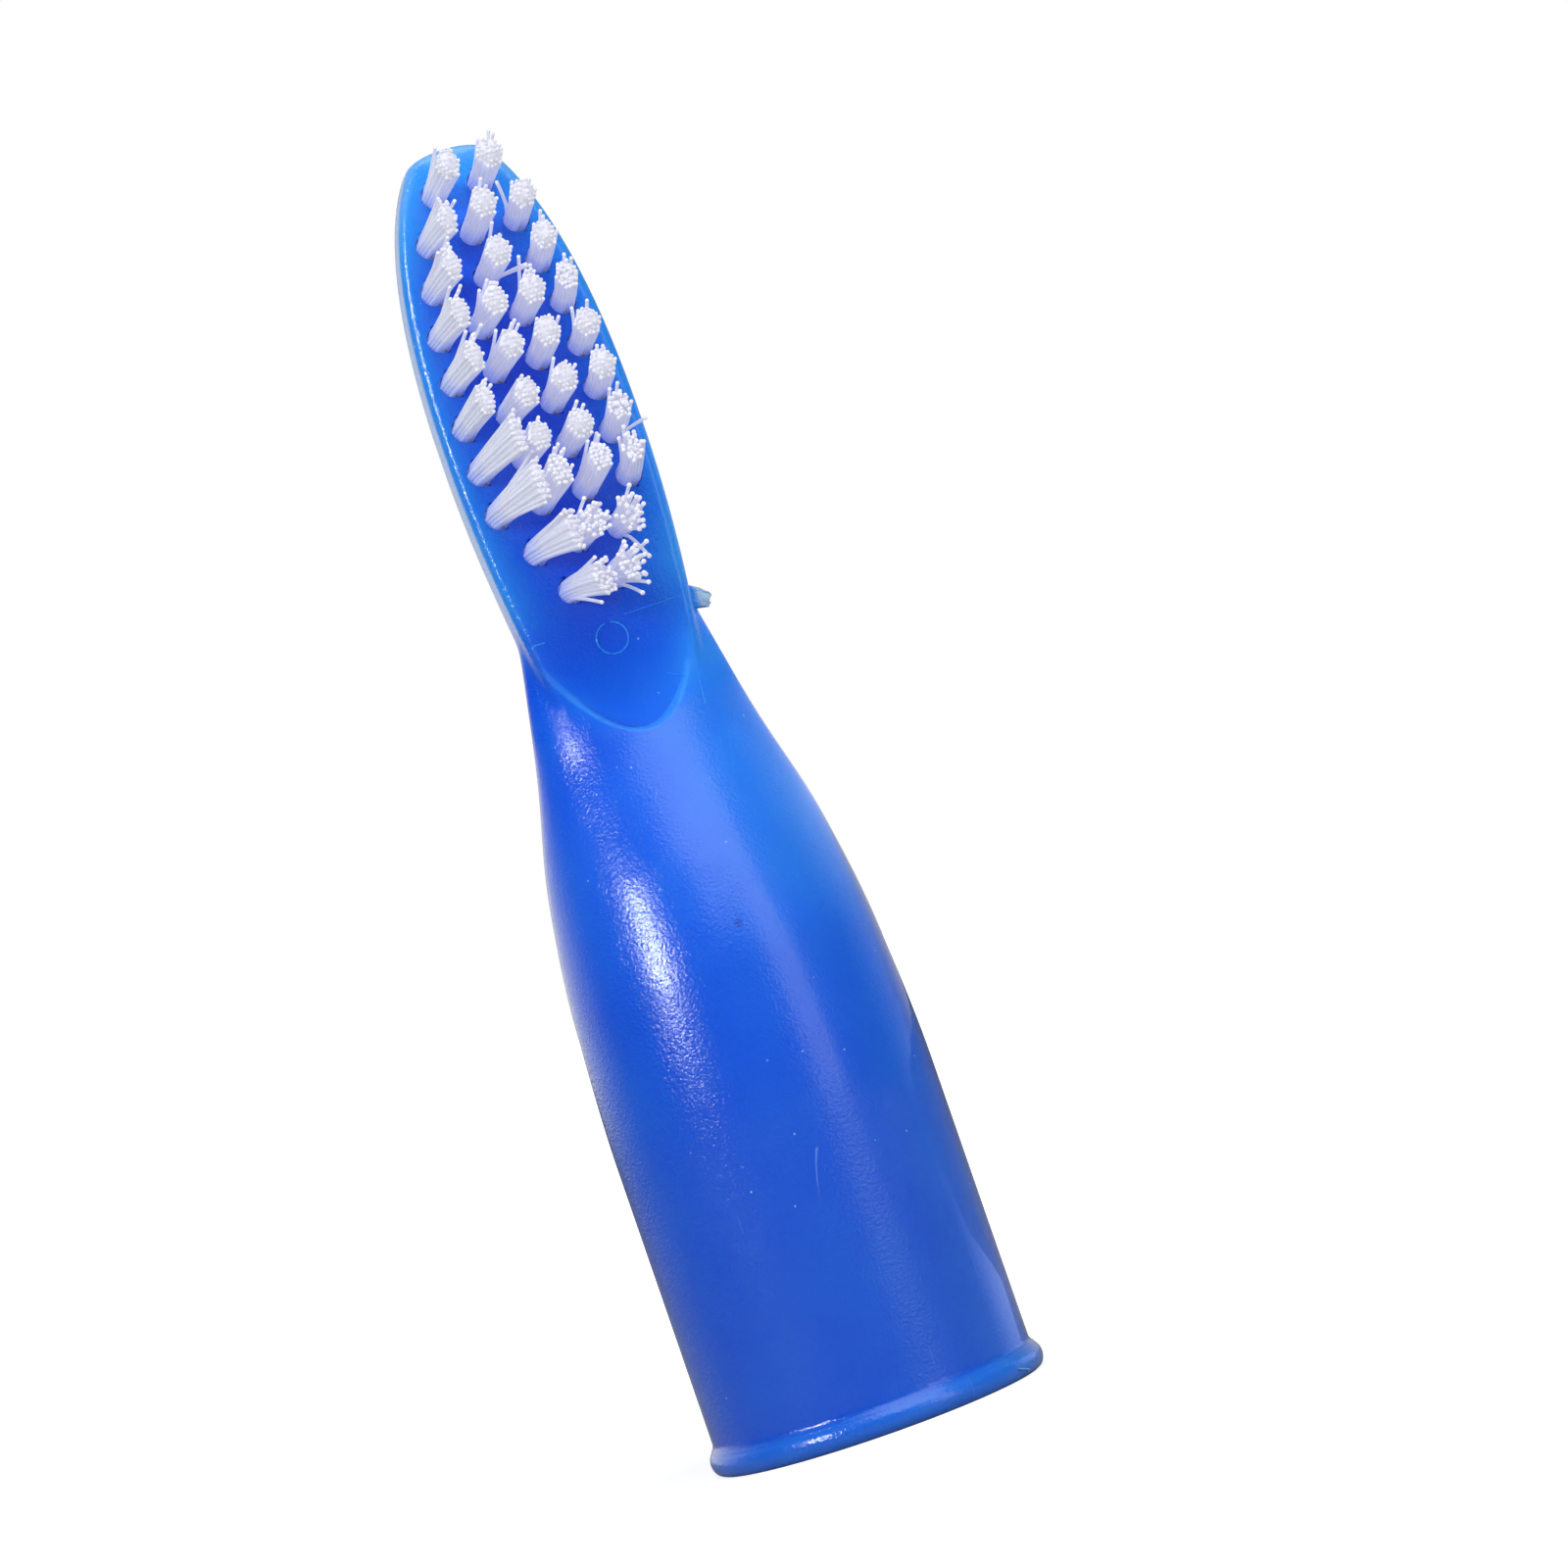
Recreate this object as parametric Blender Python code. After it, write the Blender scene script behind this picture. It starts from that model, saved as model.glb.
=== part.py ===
"""Finger toothbrush: a moulded finger sleeve with a leaf-shaped brush head, and staple-set bristle tufts.

The lip of the mouth stands on z = 0, the sleeve's axis is +Z, and the bristles face -Y.
Lengths are in millimetres, and every mesh is scaled to metres when it is made.
"""

import math

import bmesh
import bpy
import numpy as np
from mathutils import Matrix, Vector

MM = 0.001

# Sleeve
SLEEVE_RADIUS = 9.9
WALL = 1.15
LIP_HEIGHT = 1.45
LIP_PROUD = 0.52
MOUTH_CHAMFER = 0.3
STRAIGHT_TOP = 19.0
CAVITY_TOP = 41.5
CAVITY_ROUND_START = 34.0
CAVITY_ROUND_POWER = 2.6

# Shoulder between the sleeve and the neck: (height, distance from the axis) to the side, front and back
START = (STRAIGHT_TOP, SLEEVE_RADIUS)
SHOULDER_SIDE = (START, (28.0, 9.5), (35.3, 8.57), (42.4, 6.86), (49.7, 5.38), (55.0, 4.2))
SHOULDER_FRONT = (START, (28.0, 9.3), (34.0, 7.8), (39.0, 5.6), (43.0, 3.8), (50.0, 1.9), (55.0, 1.2))
SHOULDER_BACK = (START, (28.0, 9.4), (34.0, 8.1), (40.0, 5.9), (46.0, 3.8), (55.0, 1.4))
SHOULDER_TOP = 55.0
FRONT_SQUARENESS = 1.8
BACK_SQUARENESS = 2.5
SQUARE_FROM = 22.0
SQUARE_TO = 46.0

# Brush head: a flat slab with a leaf-shaped outline
HEAD_TOP = 79.9
HEAD_START = 43.0
HEAD_HALF_WIDTH = 5.98
WIDEST_AT = 61.5
LEAF_REACH = 19.3
LEAF_POWER = 2.3
NECK_HEIGHT = 49.7
NECK_HALF_WIDTH = 5.16
HALF_THICKNESS = 2.1
FACE_EDGE_RADIUS = 0.7
BACK_EDGE_RADIUS = 1.4
LARGEST_CORNER = 0.98
END_ROUND = 0.7
END_SMALLEST = 0.05
END_POWER = 0.7
LEAN = math.radians(2.0)
LEAN_START = 44.0
LEAN_BLEND = 8.0

# Pocket that opens the flat face into the front of the shoulder, with a parabola for its lower edge
POCKET_BOTTOM = 43.05
POCKET_SPREAD = 4.4
POCKET_FLOOR_STEP = 0.03
POCKET_TOP = 50.6
POCKET_POINTS = 25

# Gate vestige on the side of the neck
GATE_HEIGHT = 49.8
GATE_LENGTH = 1.2
GATE_WIDTH = 1.1
GATE_DEPTH = 1.3
GATE_END_SHARE = 0.75

# Tufts: (number in the row, spacing, how far the row is off the middle) from the tip downwards
TUFT_ROWS = (
    (2, 2.9, 0.0),
    (3, 2.75, 0.0),
    (3, 3.3, -0.1),
    (4, 2.58, -0.1),
    (4, 2.67, -0.1),
    (4, 2.77, -0.2),
    (4, 2.77, -0.2),
    (4, 2.75, -0.1),
    (3, 2.62, -0.15),
    (2, 2.7, -0.2),
)
FIRST_ROW = 77.2
ROW_PITCH = 2.77
HOLE_RADIUS = 0.85
HOLE_DEPTH = 3.2
TUFT_RADIUS = 0.77
TUFT_TOP_RADIUS = 0.93
TUFT_HEIGHT = 7.0
TUFT_FLOOR_GAP = 0.06
TUFT_SPREAD_START = 0.8
TUFT_FOOT_ROUND = 0.2
TUFT_END_ROUND = 0.25
TUFT_END_SHARE = 0.8
TUFT_SIDES = 10

# Anchors: flat wires driven across the holes, which the filaments fold round
ANCHOR_WIDTH = 1.95
ANCHOR_THICKNESS = 0.3
ANCHOR_HEIGHT = 1.7
ANCHOR_ABOVE_FLOOR = 0.5
ANCHOR_CLEARANCE = 0.05
ANCHOR_TURN = math.radians(15.0)
ANCHOR_ROWS = range(2, 9)

# Mesh fineness
AROUND = 56
FINE_ANGLES = 1440
HOLE_SIDES = 12
SHARP_ANGLE = math.radians(35)

LIP_RINGS = (0.0, 0.12, 0.35, 0.72, 1.1, 1.32, 1.45)
SLEEVE_RINGS = (1.9, 10.0, 19.0, 22.5, 26.0, 29.0, 31.5, 34.0, 36.5, 39.0, 41.0)
NECK_RINGS = (43.0, 45.0, 46.8, 48.2, 49.2, 49.7, 50.3, 51.5)
HEAD_RINGS = (53.0, 55.5, 58.0, 61.5, 65.0, 68.0, 70.5, 72.5, 74.3, 75.8, 77.0, 78.0, 78.8)
END_STEPS = 5


def clear_scene():
    for item in list(bpy.data.objects):
        bpy.data.objects.remove(item, do_unlink=True)


def smooth_curve(points, at):
    """Value on a smooth curve through the points, level at both ends and with no overshoot."""
    heights, values = np.array(points, float).T
    steps = np.diff(heights)
    slopes = np.diff(values) / steps
    product = slopes[:-1] * slopes[1:]
    total = slopes[:-1] + slopes[1:]
    tangents = np.zeros(len(values))
    tangents[1:-1] = np.where(product > 0, 2 * product / np.where(total == 0, 1, total), 0)
    at = np.clip(at, heights[0], heights[-1])
    i = np.clip(np.searchsorted(heights, at) - 1, 0, len(steps) - 1)
    t = (at - heights[i]) / steps[i]
    start = values[i] * (1 + 2 * t) * (1 - t) ** 2 + tangents[i] * steps[i] * t * (1 - t) ** 2
    end = values[i + 1] * t * t * (3 - 2 * t) + tangents[i + 1] * steps[i] * t * t * (t - 1)
    return start + end


def smoothstep(value, start, end):
    t = np.clip((value - start) / (end - start), 0, 1)
    return t * t * (3 - 2 * t)


def lean_shift(z):
    """How far the head is set back at height z: nothing on the sleeve, then a straight lean."""
    over = max(0.0, z - LEAN_START)
    blended = over * over / (2 * LEAN_BLEND) if over < LEAN_BLEND else over - LEAN_BLEND / 2
    return math.tan(LEAN) * blended


def squared_ellipse(angles, side, depth, power):
    across = np.abs(np.cos(angles)) / side
    along = np.abs(np.sin(angles)) / depth
    return (across**power + along**power) ** (-1 / power)


def rounded_box(angles, side, depth, corner):
    """Distance from the centre to a rounded rectangle, for each angle."""
    corner = np.minimum(corner, LARGEST_CORNER * np.minimum(side, depth))
    cosine = np.maximum(np.abs(np.cos(angles)), 1e-9)
    sine = np.maximum(np.abs(np.sin(angles)), 1e-9)
    centre_x = side - corner
    centre_y = depth - corner
    to_side = side / cosine
    to_face = depth / sine
    along = cosine * centre_x + sine * centre_y
    inside = np.maximum(along**2 - centre_x**2 - centre_y**2 + corner**2, 0)
    to_corner = along + np.sqrt(inside)
    on_face = to_face * cosine < centre_x
    on_side = to_side * sine < centre_y
    return np.where(on_face, to_face, np.where(on_side, to_side, to_corner))


def shoulder_section(angles, z, inset=0.0):
    """The tube's outline at height z, which goes from round to a flattened oval at the neck."""
    side = smooth_curve(SHOULDER_SIDE, z) - inset
    front = smooth_curve(SHOULDER_FRONT, z) - inset
    back = smooth_curve(SHOULDER_BACK, z) - inset
    squareness = np.where(np.sin(angles) < 0, FRONT_SQUARENESS, BACK_SQUARENESS)
    power = 2 + (squareness - 2) * smoothstep(z, SQUARE_FROM, SQUARE_TO)
    depth = np.where(np.sin(angles) < 0, front, back)
    return squared_ellipse(angles, side, depth, power)


def leaf_half_width(z):
    if z < WIDEST_AT:
        share = (WIDEST_AT - z) / (WIDEST_AT - NECK_HEIGHT)
        return HEAD_HALF_WIDTH - (HEAD_HALF_WIDTH - NECK_HALF_WIDTH) * share**2
    return HEAD_HALF_WIDTH * math.sqrt(1 - ((z - WIDEST_AT) / LEAF_REACH) ** LEAF_POWER)


def head_section(angles, z):
    over = max(0.0, z - (HEAD_TOP - END_ROUND)) / END_ROUND
    closing = math.sqrt(max(0.0, 1 - over**2))
    drop = END_ROUND * (1 - closing)
    side = leaf_half_width(z) * max(closing, END_SMALLEST) ** END_POWER
    corner = np.where(np.sin(angles) < 0, FACE_EDGE_RADIUS, BACK_EDGE_RADIUS)
    return rounded_box(angles, side, HALF_THICKNESS - drop, corner)


def lip_bulge(z):
    middle = LIP_HEIGHT / 2
    return LIP_PROUD * math.sqrt(max(0.0, 1 - ((z - middle) / (middle + 0.01)) ** 2))


def outer_section(angles, z):
    if z < LIP_HEIGHT + 0.1:
        return np.full(angles.shape, SLEEVE_RADIUS + lip_bulge(z))
    if z < HEAD_START:
        return shoulder_section(angles, z)
    if z > SHOULDER_TOP:
        return head_section(angles, z)
    return np.maximum(shoulder_section(angles, z), head_section(angles, z))


def cavity_section(angles, z):
    chamfer = MOUTH_CHAMFER * max(0.0, 1 - max(z, 0.0) / MOUTH_CHAMFER)
    radius = shoulder_section(angles, z, WALL) + chamfer
    over = max(0.0, z - CAVITY_ROUND_START) / (CAVITY_TOP - CAVITY_ROUND_START)
    return radius * math.sqrt(max(0.0, 1 - over**CAVITY_ROUND_POWER))


def ring_points(section, z):
    """The outline at height z as AROUND points, evenly spaced along it."""
    angles = np.linspace(0, 2 * math.pi, FINE_ANGLES + 1)
    radius = section(angles, z)
    x = radius * np.cos(angles)
    y = radius * np.sin(angles)
    length = np.concatenate([[0], np.cumsum(np.hypot(np.diff(x), np.diff(y)))])
    at = np.linspace(0, length[-1], AROUND, endpoint=False)
    shift = lean_shift(z)
    return [(px, py + shift, z) for px, py in zip(np.interp(at, length, x), np.interp(at, length, y))]


def new_object(name, bm):
    """An object in the scene, with its mesh scaled from millimetres to metres."""
    bmesh.ops.scale(bm, vec=(MM, MM, MM), verts=bm.verts)
    bmesh.ops.recalc_face_normals(bm, faces=bm.faces)
    mesh = bpy.data.meshes.new(name)
    bm.to_mesh(mesh)
    bm.free()
    made = bpy.data.objects.new(name, mesh)
    bpy.context.scene.collection.objects.link(made)
    return made


def loft(name, rings):
    """A closed solid through rings of equal point counts, with a flat cap at each end."""
    bm = bmesh.new()
    rows = [[bm.verts.new(point) for point in ring] for ring in rings]
    for lower, upper in zip(rows, rows[1:]):
        count = len(lower)
        for i in range(count):
            j = (i + 1) % count
            bm.faces.new((lower[i], lower[j], upper[j], upper[i]))
    bm.faces.new(rows[0])
    bm.faces.new(rows[-1])
    return new_object(name, bm)


def as_cutter(item):
    item.hide_render = True
    item.display_type = "WIRE"
    return item


def add_boolean(target, other, operation):
    modifier = target.modifiers.new(f"{operation.lower()} {other.name}", "BOOLEAN")
    modifier.operation = operation
    modifier.solver = "EXACT"
    modifier.object = other


def make_material(name, colour, roughness, metallic=0.0):
    material = bpy.data.materials.new(name)
    material.use_nodes = True
    shader = material.node_tree.nodes["Principled BSDF"]
    shader.inputs["Base Color"].default_value = (*colour, 1.0)
    shader.inputs["Roughness"].default_value = roughness
    shader.inputs["Metallic"].default_value = metallic
    return material


def plastic_material():
    return make_material("blue_plastic", (0.02, 0.1, 0.6), 0.35)


def nylon_material():
    return make_material("nylon", (0.82, 0.82, 0.9), 0.4)


def wire_material():
    return make_material("anchor_wire", (0.75, 0.6, 0.3), 0.3, 1.0)


def end_heights():
    """Rings round off the tip by equal angles."""
    turns = np.linspace(0, math.pi / 2, END_STEPS + 1)[:-1]
    return [HEAD_TOP - END_ROUND + END_ROUND * math.sin(turn) for turn in turns]


def make_outer_shell():
    heights = [*LIP_RINGS, *SLEEVE_RINGS, *NECK_RINGS, *HEAD_RINGS, *end_heights()]
    return loft("sleeve_body", [ring_points(outer_section, z) for z in heights])


def make_cavity_cutter():
    rounded = np.linspace(CAVITY_ROUND_START, CAVITY_TOP - 0.15, 7)
    heights = [-1.0, 0.0, MOUTH_CHAMFER, STRAIGHT_TOP, 22.5, 26.0, 29.0, 31.5, *rounded]
    return as_cutter(loft("cavity_cutter", [ring_points(cavity_section, z) for z in heights]))


def make_pocket_cutter():
    """A prism whose floor is the flat face's plane, and whose lower end is the parabola."""
    half = math.sqrt(POCKET_SPREAD * (POCKET_TOP - POCKET_BOTTOM))
    floor = -HALF_THICKNESS + POCKET_FLOOR_STEP
    bm = bmesh.new()
    ends = []
    for y in (floor, -SLEEVE_RADIUS):
        outline = []
        for x in np.linspace(-half, half, POCKET_POINTS):
            z = POCKET_BOTTOM + x * x / POCKET_SPREAD
            outline.append(bm.verts.new((x, y + lean_shift(z), z)))
        ends.append(outline)
    inner, outer = ends
    count = len(inner)
    for i in range(count):
        j = (i + 1) % count
        bm.faces.new((inner[i], inner[j], outer[j], outer[i]))
    for i in range(count // 2):
        j = count - 1 - i
        for outline in ends:
            corners = [outline[i], outline[i + 1], outline[j - 1], outline[j]]
            bm.faces.new(list(dict.fromkeys(corners)))
    return as_cutter(new_object("pocket_cutter", bm))


def make_gate_vestige():
    """The broken-off gate: a rough-sided stub that tapers to its end."""
    root = NECK_HALF_WIDTH - GATE_DEPTH / 2
    tip = NECK_HALF_WIDTH + GATE_DEPTH
    bm = bmesh.new()
    ends = []
    for x, share in ((root, 1.0), (tip, GATE_END_SHARE)):
        corners = [(-1, -1), (1, -1), (1, 1), (-1, 1)]
        y_half = share * GATE_WIDTH / 2
        z_half = share * GATE_LENGTH / 2
        ends.append([bm.verts.new((x, y_half * a, GATE_HEIGHT + z_half * b)) for a, b in corners])
    for i in range(4):
        j = (i + 1) % 4
        bm.faces.new((ends[0][i], ends[0][j], ends[1][j], ends[1][i]))
    bm.faces.new(ends[0])
    bm.faces.new(ends[1])
    return as_cutter(new_object("gate_vestige", bm))


def tuft_places():
    """Each tuft's row, place in the row, and frame: the face point with its -Z axis into the hole."""
    for row, (count, spacing, offset) in enumerate(TUFT_ROWS, start=1):
        z = FIRST_ROW - (row - 1) * ROW_PITCH
        for column in range(1, count + 1):
            x = (column - (count + 1) / 2) * spacing + offset
            origin = Vector((x, -HALF_THICKNESS + lean_shift(z), z))
            outward = Matrix.Rotation(math.pi / 2 - LEAN, 4, "X")
            yield row, column, Matrix.Translation(origin) @ outward


def add_round(bm, frame, radii, sides):
    """A closed turned shape from (height, radius) pairs along the frame's Z axis."""
    rows = []
    for height, radius in radii:
        turns = [2 * math.pi * (i + 0.5) / sides for i in range(sides)]
        points = [Vector((radius * math.cos(a), radius * math.sin(a), height)) for a in turns]
        rows.append([bm.verts.new(frame @ point) for point in points])
    for lower, upper in zip(rows, rows[1:]):
        for i in range(sides):
            j = (i + 1) % sides
            bm.faces.new((lower[i], lower[j], upper[j], upper[i]))
    bm.faces.new(rows[0])
    bm.faces.new(rows[-1])


def add_block(bm, frame, size, middle):
    matrix = frame @ Matrix.Translation(middle) @ Matrix.Diagonal((*size, 1.0))
    bmesh.ops.create_cube(bm, size=1.0, matrix=matrix)


def anchor_frame(frame):
    return frame @ Matrix.Rotation(ANCHOR_TURN, 4, "Z")


def anchor_middle():
    return Vector((0, 0, -HOLE_DEPTH + ANCHOR_ABOVE_FLOOR + ANCHOR_HEIGHT / 2))


def make_hole_cutter():
    bm = bmesh.new()
    for _, _, frame in tuft_places():
        add_round(bm, frame, ((-HOLE_DEPTH, HOLE_RADIUS), (1.0, HOLE_RADIUS)), HOLE_SIDES)
    return as_cutter(new_object("hole_cutter", bm))


def make_seat_cutter():
    """The slots that each driven anchor leaves in its hole's wall."""
    gap = 2 * ANCHOR_CLEARANCE
    size = (ANCHOR_THICKNESS + gap, ANCHOR_WIDTH + gap, ANCHOR_HEIGHT + gap)
    bm = bmesh.new()
    for _, _, frame in tuft_places():
        add_block(bm, anchor_frame(frame), size, anchor_middle())
    return as_cutter(new_object("anchor_seat_cutter", bm))


def make_body(material):
    body = make_outer_shell()
    add_boolean(body, make_cavity_cutter(), "DIFFERENCE")
    add_boolean(body, make_pocket_cutter(), "DIFFERENCE")
    add_boolean(body, make_gate_vestige(), "UNION")
    add_boolean(body, make_hole_cutter(), "DIFFERENCE")
    add_boolean(body, make_seat_cutter(), "DIFFERENCE")
    body.data.materials.append(material)
    body.data.shade_smooth()
    body.data.set_sharp_from_angle(angle=SHARP_ANGLE)


def make_tuft(name, frame, material):
    """A bundle of filaments folded once round its anchor, so it has a window where the anchor passes."""
    bottom = -HOLE_DEPTH + TUFT_FLOOR_GAP
    profile = (
        (bottom, TUFT_END_SHARE * TUFT_RADIUS),
        (bottom + TUFT_FOOT_ROUND, TUFT_RADIUS),
        (TUFT_SPREAD_START, TUFT_RADIUS),
        (TUFT_HEIGHT - TUFT_END_ROUND, TUFT_TOP_RADIUS),
        (TUFT_HEIGHT, TUFT_END_SHARE * TUFT_TOP_RADIUS),
    )
    bm = bmesh.new()
    add_round(bm, frame, profile, TUFT_SIDES)
    tuft = new_object(name, bm)
    gap = 2 * ANCHOR_CLEARANCE
    size = (ANCHOR_THICKNESS + gap, 2 * ANCHOR_WIDTH, ANCHOR_HEIGHT + gap)
    bm = bmesh.new()
    add_block(bm, anchor_frame(frame), size, anchor_middle())
    add_boolean(tuft, as_cutter(new_object(f"{name}_window", bm)), "DIFFERENCE")
    tuft.data.materials.append(material)
    tuft.data.shade_smooth()
    tuft.data.set_sharp_from_angle(angle=SHARP_ANGLE)


def make_anchor(name, frame, material):
    bm = bmesh.new()
    add_block(bm, anchor_frame(frame), (ANCHOR_THICKNESS, ANCHOR_WIDTH, ANCHOR_HEIGHT), anchor_middle())
    new_object(name, bm).data.materials.append(material)


def main():
    clear_scene()
    make_body(plastic_material())
    nylon = nylon_material()
    wire = wire_material()
    for row, column, frame in tuft_places():
        make_tuft(f"tuft_r{row:02d}_c{column}", frame, nylon)
        if row in ANCHOR_ROWS:
            make_anchor(f"anchor_r{row:02d}_c{column}", frame, wire)


main()
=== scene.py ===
"""Looks of the finger toothbrush: fine body, filament tufts, materials, floor, light and camera.

Shapes are worked out in millimetres in the part's own frame: the mouth's lip on z = 0, the sleeve's
axis along +Z and the bristles towards -Y. Objects are made in metres, and materials measure in metres.
"""
import math
import random
from collections import namedtuple

import bmesh
import bpy
import numpy as np
from mathutils import Matrix, Vector


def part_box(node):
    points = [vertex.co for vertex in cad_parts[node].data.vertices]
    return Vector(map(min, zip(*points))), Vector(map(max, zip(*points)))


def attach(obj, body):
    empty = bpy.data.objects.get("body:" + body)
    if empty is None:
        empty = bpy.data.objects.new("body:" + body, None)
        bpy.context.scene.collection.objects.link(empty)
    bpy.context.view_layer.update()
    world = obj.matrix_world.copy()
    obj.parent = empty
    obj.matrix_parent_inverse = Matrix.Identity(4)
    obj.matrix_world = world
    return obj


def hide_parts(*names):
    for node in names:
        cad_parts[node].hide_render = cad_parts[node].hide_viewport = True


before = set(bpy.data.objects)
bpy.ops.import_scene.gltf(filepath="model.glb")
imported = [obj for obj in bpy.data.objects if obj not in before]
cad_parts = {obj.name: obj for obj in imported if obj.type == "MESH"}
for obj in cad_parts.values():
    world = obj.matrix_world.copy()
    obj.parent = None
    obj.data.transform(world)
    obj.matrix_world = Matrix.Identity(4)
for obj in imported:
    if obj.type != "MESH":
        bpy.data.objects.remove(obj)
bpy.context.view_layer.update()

MM = 0.001
SEED = 7

BODY_HIGH = np.array(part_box("sleeve_body")[1]) / MM

# Sleeve
LIP_PROUD = 0.52
SLEEVE_RADIUS = BODY_HIGH[1] - LIP_PROUD
WALL = 1.15
LIP_HEIGHT = 1.45
LIP_FILLET = 0.5
LIP_FILLET_DEPTH = 0.24
LIP_BLEND = 0.06
LIP_FOOT = 0.01
MOUTH_CHAMFER = 0.3
STRAIGHT_TOP = 19.0
CAVITY_TOP = 41.5
CAVITY_ROUND_START = 34.0
CAVITY_ROUND_POWER = 2.6

# Shoulder: (height, distance from the axis) to the side, front and back
SHOULDER_TOP = 55.0
SHOULDER_SIDE = (
    (STRAIGHT_TOP, SLEEVE_RADIUS),
    (28.0, 9.5),
    (35.3, 8.57),
    (42.4, 6.86),
    (49.7, 5.38),
    (SHOULDER_TOP, 4.2),
)
SHOULDER_FRONT = (
    (STRAIGHT_TOP, SLEEVE_RADIUS),
    (28.0, 9.3),
    (34.0, 7.8),
    (39.0, 5.6),
    (43.0, 3.8),
    (50.0, 1.9),
    (SHOULDER_TOP, 1.2),
)
SHOULDER_BACK = (
    (STRAIGHT_TOP, SLEEVE_RADIUS),
    (28.0, 9.4),
    (34.0, 8.1),
    (40.0, 5.9),
    (46.0, 3.8),
    (SHOULDER_TOP, 1.4),
)
FRONT_SQUARENESS = 1.8
BACK_SQUARENESS = 2.5
SQUARE_FROM = 22.0
SQUARE_TO = 46.0

# How sleeve and head run into each other at the neck
NECK_BLEND = 0.3
NECK_BLEND_RISE = 3.0
NECK_BLEND_END = 52.0

# Brush head
HEAD_TOP = BODY_HIGH[2] + 0.03
HEAD_START = 43.0
HEAD_HALF_WIDTH = 5.98
WIDEST_AT = 61.5
LEAF_REACH = 19.3
LEAF_POWER = 2.3
NECK_HEIGHT = 49.7
NECK_HALF_WIDTH = 5.16
HALF_THICKNESS = 2.1
FACE_EDGE_RADIUS = 0.7
BACK_EDGE_RADIUS = 1.4
END_ROUND = 0.7
END_CLOSING_POWER = 0.7
END_CLOSING_LEAST = 0.02
LEAN = math.radians(2.0)
LEAN_START = 44.0
LEAN_BLEND = 8.0

# Pocket in the shoulder's front: a parabola's lower edge, a rounded wall and a slightly sunk floor
POCKET_BOTTOM = 43.05
POCKET_SPREAD = 4.4
POCKET_WALL = 0.3
POCKET_FLOOR_STEP = 0.03
POCKET_STEP_START = 52.0
POCKET_STEP_END = 49.0

# Holes, tufts and their anchors
HOLE_RADIUS = 0.82
HOLE_DEPTH = 3.2
HOLE_CLEARANCE = 1.0
HOLE_SIDES = 36
SLIT_WIDTH = 0.24
SLIT_LENGTH = 1.9
SLIT_DEPTH = 0.35
ANCHOR_TURN = math.radians(15.0)
TUFT_HEIGHT = 7.0
TUFT_FLOOR_GAP = 0.06
FILAMENT_RADIUS = 0.107
FILAMENT_SPACING = 0.214
FILAMENT_RINGS = 3
FILAMENT_SIDES = 7
FILAMENT_STEPS = 9
FILAMENT_FOOT = -1.7
LEAN_POWER = 1.35
FAN_POWER = 1.3
SINK = 0.55
SINK_POWER = 1.6
LOBE_SHIFT = 0.1
LOBE_GAP = 0.2
LOBE_FADE = (-0.2, 2.2)
STRAY_RIM = 2.6
STRAY_CURVE = 1.2
CORE_FOOT = 1.6
CORE_ROWS = 8
CORE_SIDES = 24
CORE_RADIUS = 2.7
CORE_FOOT_RADIUS = 1.2
CORE_LOOSEST = 0.5

# Ejector pin's mark: an open ring
EJECTOR_PLACE = (-0.2, 48.9)
EJECTOR_RADIUS = 0.95
EJECTOR_START = 100.0
EJECTOR_SWEEP = 345.0
EJECTOR_RIDGE = 0.06

# The broken gate on the neck's right side, and the curl of flash on the lip
GATE_HEIGHT = 49.8
GATE_SIZE = (2.1, 1.1, 1.3)
GATE_PLACE = (NECK_HALF_WIDTH + 0.3, 0.1, GATE_HEIGHT + 0.05)
GATE_DROOP = math.radians(26)
GATE_ROUGHNESS = 0.05
CURL_AZIMUTH = math.radians(46)
CURL_STEPS = 21
CURL_TURN = 3.4
CURL_RADIUS = 0.05
CURL_PAINTED_LIGHT = 1.3

# Witness lines of the mould's insert and flow marks: ((x, z) corners, radius), and how much painted light
# makes them look lighter
RIDGES = (
    (((0.9, 50.0), (4.7, 50.02)), 0.032),
    (((-4.9, 49.9), (-4.0, 49.88)), 0.05),
    (((2.2, 45.9), (3.9, 45.1), (3.6, 43.3)), 0.04),
)
RIDGE_PAINTED_LIGHT = 0.9
RIDGE_STEP = 0.1

# Mesh fineness: points round each outline, and the steps up the body
AROUND = 208
FINE_ANGLES = 1440
LIP_STEP = 0.09
FILLET_STEP = 0.06
SLEEVE_STEP = 0.7
SHOULDER_STEP = 0.34
NECK_START = 42.5
NECK_STEP = 0.09
NECK_END = 52.0
HEAD_STEP = 0.17
END_STEPS = 15
CHAMFER_STEP = 0.1
CAVITY_STEP = 0.9
DOME_STEPS = 26
SHARP_ANGLE = math.radians(38)

# A start well in front of the body, for finding its surface
IN_FRONT = -20.0


def smooth_curve(points, at):
    """Value on a smooth curve through the points, level at both ends and with no overshoot."""
    heights, values = np.array(points, float).T
    steps = np.diff(heights)
    slopes = np.diff(values) / steps
    product = slopes[:-1] * slopes[1:]
    total = slopes[:-1] + slopes[1:]
    tangents = np.zeros(len(values))
    tangents[1:-1] = np.where(product > 0, 2 * product / np.where(total == 0, 1, total), 0)
    at = np.clip(at, heights[0], heights[-1])
    i = np.clip(np.searchsorted(heights, at) - 1, 0, len(steps) - 1)
    t = (at - heights[i]) / steps[i]
    start = values[i] * (1 + 2 * t) * (1 - t) ** 2 + tangents[i] * steps[i] * t * (1 - t) ** 2
    end = values[i + 1] * t * t * (3 - 2 * t) + tangents[i + 1] * steps[i] * t * t * (t - 1)
    return start + end


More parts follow.
